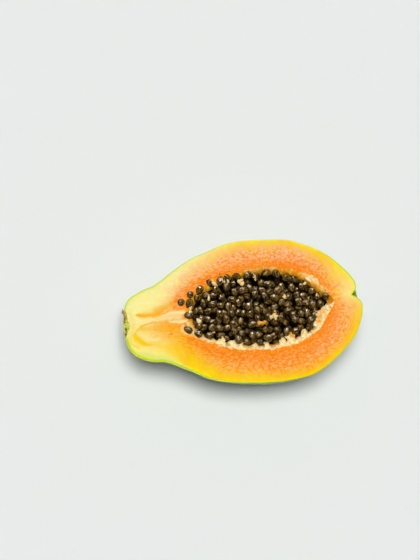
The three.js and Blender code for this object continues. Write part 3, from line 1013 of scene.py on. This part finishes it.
def seed_mass():
    """The seeds deep in the heap, as one lumpy mass coloured near black, as painted shade: the
    cavity's own spindle, with all that stands above the mass's level pressed down on it."""
    outline = cavity_outline()[::4]
    along = MASS_LENGTH * (outline[:, 0, None] - CAVITY_LENGTH / 2)
    out = MASS_RADIUS * outline[:, 1, None]
    angle = np.linspace(0, 2 * math.pi, 110, endpoint=False)[None, :]
    y, z = out * np.cos(angle), out * np.sin(angle)
    level = -MASS_DEPTH + ripples(stacked(along, y), 7 * MM, 61) * 0.9 * MM
    return from_cavity(stacked(along, y, np.minimum(z, level)))


def seed_material(name, coat):
    """A papaya seed in its wet, see-through coat: dark brown with an olive cast, lighter
    wrinkles showing through along it, and very glossy. Seeds under others, and each seed down
    its sides, are darker with painted shade."""
    material, tree, inputs = new_material(name, Roughness=0.5, IOR=1.4, Specular_IOR_Level=0,
                                          Coat_Weight=coat, Coat_Roughness=0.12, Coat_IOR=1.4)
    own = add(tree, "Attribute", output="Vector", attribute_name="own")
    tip, tone = (add(tree, "Attribute", output="Fac", attribute_name=name)
                 for name in ("tip", "tone"))
    lengthwise = add(tree, "Mapping", {"Vector": own, "Scale": (1, 1, 1 / 2.6)})
    wrinkles = add(tree, "TexNoise", {"Vector": lengthwise, "Scale": 1 / (1.2 * MM), "Detail": 3,
                                      "Roughness": 0.65, "Distortion": 0.7})
    brown = add(tree, "ValToRGB", {"Fac": wrinkles},
                ramp=[(0.38, "#221503"), (0.48, "#503A12"), (0.57, "#7A5B26"), (0.66, "#B08D46"),
                      (0.73, "#E8CA86")])
    dark, dented, attached = (
        add(tree, "MapRange", {"Value": value, "From Min": none, "From Max": full},
            interpolation_type="SMOOTHSTEP")
        for value, none, full in ((tone, 0, 1), (tip, 0.7, 0.8), (tip, 0.93, 0.97)))
    # the tone lays near-black over the seed: partly its own random tone, partly painted shade under
    # others and down its sides
    colour = layered(tree, brown, ("#080502", dark), ("#120B04", dented), ("#B98A3A", attached))
    bump, folds = (add(tree, "Bump", {"Height": wrinkles, "Strength": strength,
                                      "Distance": 0.9 * MM}) for strength in (0.8, 0.7))
    wire(tree, inputs, Base_Color=colour, Normal=bump, Coat_Normal=folds)
    return material


def mass_shade_material():
    """The heap's shaded depth, nearly black."""
    return new_material("papaya seeds deep in the heap, painted shade", Roughness=1, Specular_IOR_Level=0,
                        Base_Color=linear("#0E0904"))[0]


HEAP_SHELF = [  # how far from the upper wall the heap keeps, in mm: along, gap
    (40, 2), (50, 0.8), (80, 1.2), (96, 4), (118, 5), (132, 5), (146, 3),
]
HEAP_HOLLOWS = [  # in mm from the cavity's middle: along, across, their half-sizes, depth
    (34, 12, 13, 8, 0.6), (28, 4, 18, 8, 0.8), (-24, -6, 8, 6, 1),
]


def heap_places(rng):
    """Places for seeds about 1 mm apart, clear of the cavity's wall and of the torn lining,
    and how high the heap reaches at each: level, but for its edges and its hollows."""
    steps_x = np.arange(-50, 51, 1.0) * MM
    steps_y = np.arange(-27, 28, 1.0) * MM
    local = np.stack(np.meshgrid(steps_x, steps_y, indexing="ij"), -1).reshape(-1, 2)
    outline = cavity_outline()
    room = np.min([np.interp(local[:, 0] + CAVITY_LENGTH / 2 + shift, outline[:, 0], outline[:, 1],
                             left=0, right=0) for shift in (-1.4 * MM, 0, 1.2 * MM)], axis=0)
    along = (local[:, 0] + CAVITY_MIDDLE[0]) / MM
    shelf = np.interp(along, *np.transpose(HEAP_SHELF))
    lace = 2.6 + 0.9 * np.max([lace_reach(along + shift) for shift in (-1.5, 0, 1.5)], axis=0)
    spare = np.where(local[:, 1] > 0, shelf, lace) * MM
    inside = np.abs(local[:, 1]) < room - spare
    local, room = local[inside], room[inside]
    local = local + rng.uniform(-0.4, 0.4, local.shape) * MM
    places = from_cavity(np.concatenate([local, np.zeros((len(local), 1))], axis=1))
    level = CUT_HEIGHT - 0.4 * MM + ripples(places[:, :2], 20 * MM, 51) * 0.7 * MM
    for x, y, long, wide, deep in HEAP_HOLLOWS:
        hollow = deep * MM * bell(local[:, 0], x * MM, long * MM)
        level -= hollow * bell(local[:, 1], y * MM, wide * MM)
    level -= 0.8 * MM * ease(room - np.abs(local[:, 1]), 9 * MM, 3 * MM)
    return places, level


def heap_centres(fixed, rng):
    """Drops seeds one by one: each goes to the lowest place still free on those already
    there, until the heap reaches its level. Returns their centres, and how much lies over
    each of them and of the fixed ones, from 0 to 1."""
    places, level = heap_places(rng)
    rest = np.full(len(places), CUT_HEIGHT - 12 * MM)
    found = []

    def raise_by(centre):
        """Raises what rests near a new seed on to it."""
        flat = np.linalg.norm(places[:, :2] - centre[:2], axis=1)
        reach = SEED_SPACING**2 - flat**2
        over = centre[2] + np.sqrt(np.maximum(reach, 0))
        np.copyto(rest, np.maximum(rest, over), where=reach > 0)

    for centre in fixed:
        raise_by(centre)
    while True:
        chance = rest + rng.uniform(0, 1.2, len(rest)) * MM
        chance[rest > level] = np.inf
        pick = int(np.argmin(chance))
        if not np.isfinite(chance[pick]):
            break
        found.append(np.array([places[pick, 0], places[pick, 1], rest[pick]]))
        raise_by(found[-1])
    centres = np.array(list(fixed) + found)
    gaps = np.linalg.norm(places[None, :, :2] - centres[:, None, :2], axis=2)
    buried = rest[gaps.argmin(axis=1)] - centres[:, 2] - SEED_SPACING
    return np.array(found), ease(buried, 0.6 * MM, 4.5 * MM)


STRAY_SEEDS = [  # at the heap's edge or clear of it: along and across in mm, turn and pitch
    (41, 12.5, 20, 80), (48, 17, 60, 76), (43, -7, -40, 10), (141, 4, 60, 60),
    (45, 3, -10, 10), (46.5, 11, 60, 30), (49.5, -10.5, -35, 10), (56.5, -12.5, -20, 30),
    (52.5, 14, 80, 30),
]
RIM_ROW = (48, 126)  # where the row of seeds along the rim starts and ends, in mm
RIM_ROW_INWARD = [(56, -1), (70, 0), (82, 2), (94, 4.5)]  # in mm: along, how far in from the rim


def rim_seeds(rim, rng):
    """A row of seeds along the upper side of the rim, none nearer to the last than a seed's
    spacing along the fruit. Towards the stem they sit in the flesh over the rim, and towards
    the blossom end they lie further and further in."""
    inward, upper, x = rim_ways(rim)
    side = (upper > 0.5) & (x > 50) & (x < 130)
    shift = np.interp(x, *np.transpose(RIM_ROW_INWARD))[side, None] * MM
    line = rim[side] + inward[side] * shift
    line = line[np.argsort(line[:, 0])]
    start, end = (STEM_X + place * MM for place in RIM_ROW)
    along = start + np.cumsum(rng.uniform(1, 1.5, len(line)) * SEED_SPACING)
    along = along[along < end]
    across = np.interp(along, line[:, 0], line[:, 1]) - rng.uniform(-0.6, 2.4, len(along)) * MM
    height = CUT_HEIGHT + rng.normal(-1.5, 0.7, len(along)) * MM
    spots = np.stack([along, across, height], axis=1)
    return [(spot, rng.uniform(0, 180), rng.normal(20, 16)) for spot in spots]


SEED_GRIDS = {"named": (16, 11), "top": (12, 8), "buried": (10, 7)}  # points round, and rows


def place_seeds(rim):
    """The frame's seeds, each as a finished seed in its place, the seeds round them, and one
    mass, near black with painted shade, for the depth of the heap."""
    rng = np.random.default_rng(7)
    bare = seed_material("papaya seed in its wet coat", 1)
    buried = seed_material("papaya seed under others, wet", 0.5)
    names = sorted(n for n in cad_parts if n.startswith("seed_") and n != "seed_bed")
    centres = [np.array((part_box(name)[0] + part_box(name)[1]) / 2) for name in names]
    placed = [(on_face(x, y), turn, pitch) for x, y, turn, pitch in STRAY_SEEDS]
    placed += rim_seeds(rim, rng)
    found, cover = heap_centres(centres + [spot for spot, _, _ in placed], rng)
    for name, centre, over in zip(names, centres, cover):
        seed = (centre, rng.uniform(0.92, 1), fallen_axes(rng), over)
        material = buried if over > BURIED else bare
        piece = build_seeds(name + "_coat", [seed], rng, material, *SEED_GRIDS["named"])
        hand_over(piece, name)
    heap = [(centre, rng.uniform(0.84, 1.02), fallen_axes(rng), over)
            for centre, over in zip(found, cover[len(centres) + len(placed):])]
    for centre, turn, pitch in placed:
        axes = seed_axes(math.radians(turn), math.radians(pitch), any_turn(rng))
        heap.append((centre, rng.uniform(0.86, 1), axes, 0))
    top = [seed for seed in heap if seed[3] <= BURIED]
    under = [seed for seed in heap if seed[3] > BURIED]
    heaped = build_seeds("seeds_heaped", top, rng, bare, *SEED_GRIDS["top"])
    hand_over(heaped, "seed_bed")
    deep = mesh_object("seeds_deep_painted_shade", [seed_mass()], [mass_shade_material()])
    for piece in (build_seeds("seeds_buried", under, rng, buried, *SEED_GRIDS["buried"]), deep):
        hand_over(piece)


# ---------------------------------------------------------------- stage, light and camera

def build_floor():
    """A plain, pale, level floor that fills the view."""
    side = 6.0
    material, _, _ = new_material("plain matt studio floor", Base_Color=linear("#EAEDEB"),
                                  Roughness=1, Specular_IOR_Level=0)
    corners = [(-side, -side, 0), (side, -side, 0), (side, side, 0), (-side, side, 0)]
    mesh = bpy.data.meshes.new("floor")
    mesh.from_pydata(corners, [], [(0, 1, 2, 3)])
    mesh.materials.append(material)
    in_scene("floor", mesh)


SUN_STRENGTH = 2.66
SUN_WIDTH = math.radians(22)
SOFTBOX_SIDE = 0.4
SOFTBOX_POWER = 66
SOFTBOX_COLOUR = (1, 0.88, 0.7)
SOFTBOX_PLACE = (-0.1, 0.88, 0.85)
SKY_LOW = 0.82  # the sky's strength at the horizon
SKY_HIGH = 0.12  # and from about 17 degrees over it


def build_light():
    """A big soft light nearly overhead, far enough away to light all of the floor alike; a
    small softbox behind, for the highlights; and a sky that is pale near the horizon and
    faint above. Glossy surfaces show only the softbox and the sky."""
    data = bpy.data.lights.new("overhead light", "SUN")
    data.energy, data.angle = SUN_STRENGTH, SUN_WIDTH
    lamp = in_scene("overhead light", data)
    lamp.rotation_euler = Vector((0.1, 0, -1)).to_track_quat("-Z", "Y").to_euler()
    lamp.visible_glossy = False

    data = bpy.data.lights.new("softbox behind", "AREA")
    data.size, data.energy, data.color = SOFTBOX_SIDE, SOFTBOX_POWER, SOFTBOX_COLOUR
    gloss = in_scene("softbox behind", data)
    gloss.location = SOFTBOX_PLACE
    gloss.rotation_euler = (-gloss.location).to_track_quat("-Z", "Y").to_euler()
    gloss.visible_diffuse = False

    world = bpy.data.worlds.new("pale sky")
    world.use_nodes = True
    tree = world.node_tree
    height = add(tree, "SeparateXYZ", {"Vector": add(tree, "TexCoord")}, output="Z")
    glow = add(tree, "MapRange", {"Value": height, "From Min": 0.02, "From Max": 0.3,
                                  "To Min": SKY_LOW, "To Max": SKY_HIGH},
               interpolation_type="SMOOTHSTEP")
    tree.nodes["Background"].inputs["Color"].default_value = (1, 1, 1, 1)
    tree.links.new(glow, tree.nodes["Background"].inputs["Strength"])
    bpy.context.scene.world = world
    bpy.context.scene.view_settings.view_transform = "Standard"


IMAGE_SIZE = (420, 560)
IMAGE_SCALE = 0.6825 * MM  # metres of the object's own plane to one image pixel
LEAN_TO_STEM = math.radians(10)  # how far the view leans off the cut face's normal
LEAN_TO_FRONT = math.radians(12)
RISE = math.radians(6.8)  # of the long axis, in the image
FRUIT_MIDDLE_PIXEL = (243.4, 313.0)
CAMERA_DISTANCE = 1.15


def build_camera():
    """Looks down on the cut face from the front and the stem's side, rolled so that the
    fruit rises to the right."""
    towards = Vector((-math.sin(LEAN_TO_STEM), -math.sin(LEAN_TO_FRONT), 0))
    towards.z = math.sqrt(1 - towards.length_squared)
    level = Vector((1, 0, 0))
    level = (level - level.dot(towards) * towards).normalized()
    right = math.cos(RISE) * level - math.sin(RISE) * towards.cross(level)
    up = towards.cross(right)
    middle = Vector((STEM_X + FRUIT_LENGTH / 2, 0, CUT_HEIGHT))
    across = (IMAGE_SIZE[0] / 2 - FRUIT_MIDDLE_PIXEL[0]) * IMAGE_SCALE
    down = (IMAGE_SIZE[1] / 2 - FRUIT_MIDDLE_PIXEL[1]) * IMAGE_SCALE
    aim = middle + right * across - up * down
    data = bpy.data.cameras.new("camera")
    data.sensor_fit = "VERTICAL"
    data.sensor_height = 24
    data.lens = data.sensor_height * CAMERA_DISTANCE / (IMAGE_SIZE[1] * IMAGE_SCALE)
    camera = in_scene("camera", data)
    turn = Matrix((right, up, towards)).transposed().to_4x4()
    camera.matrix_world = Matrix.Translation(aim + towards * CAMERA_DISTANCE) @ turn
    bpy.context.scene.camera = camera


# ---------------------------------------------------------------- the whole

build_camera()
build_floor()
build_light()
rim = build_fruit()
build_stalks(rim)
build_scraps()
build_cork()
build_specks()
place_seeds(rim)
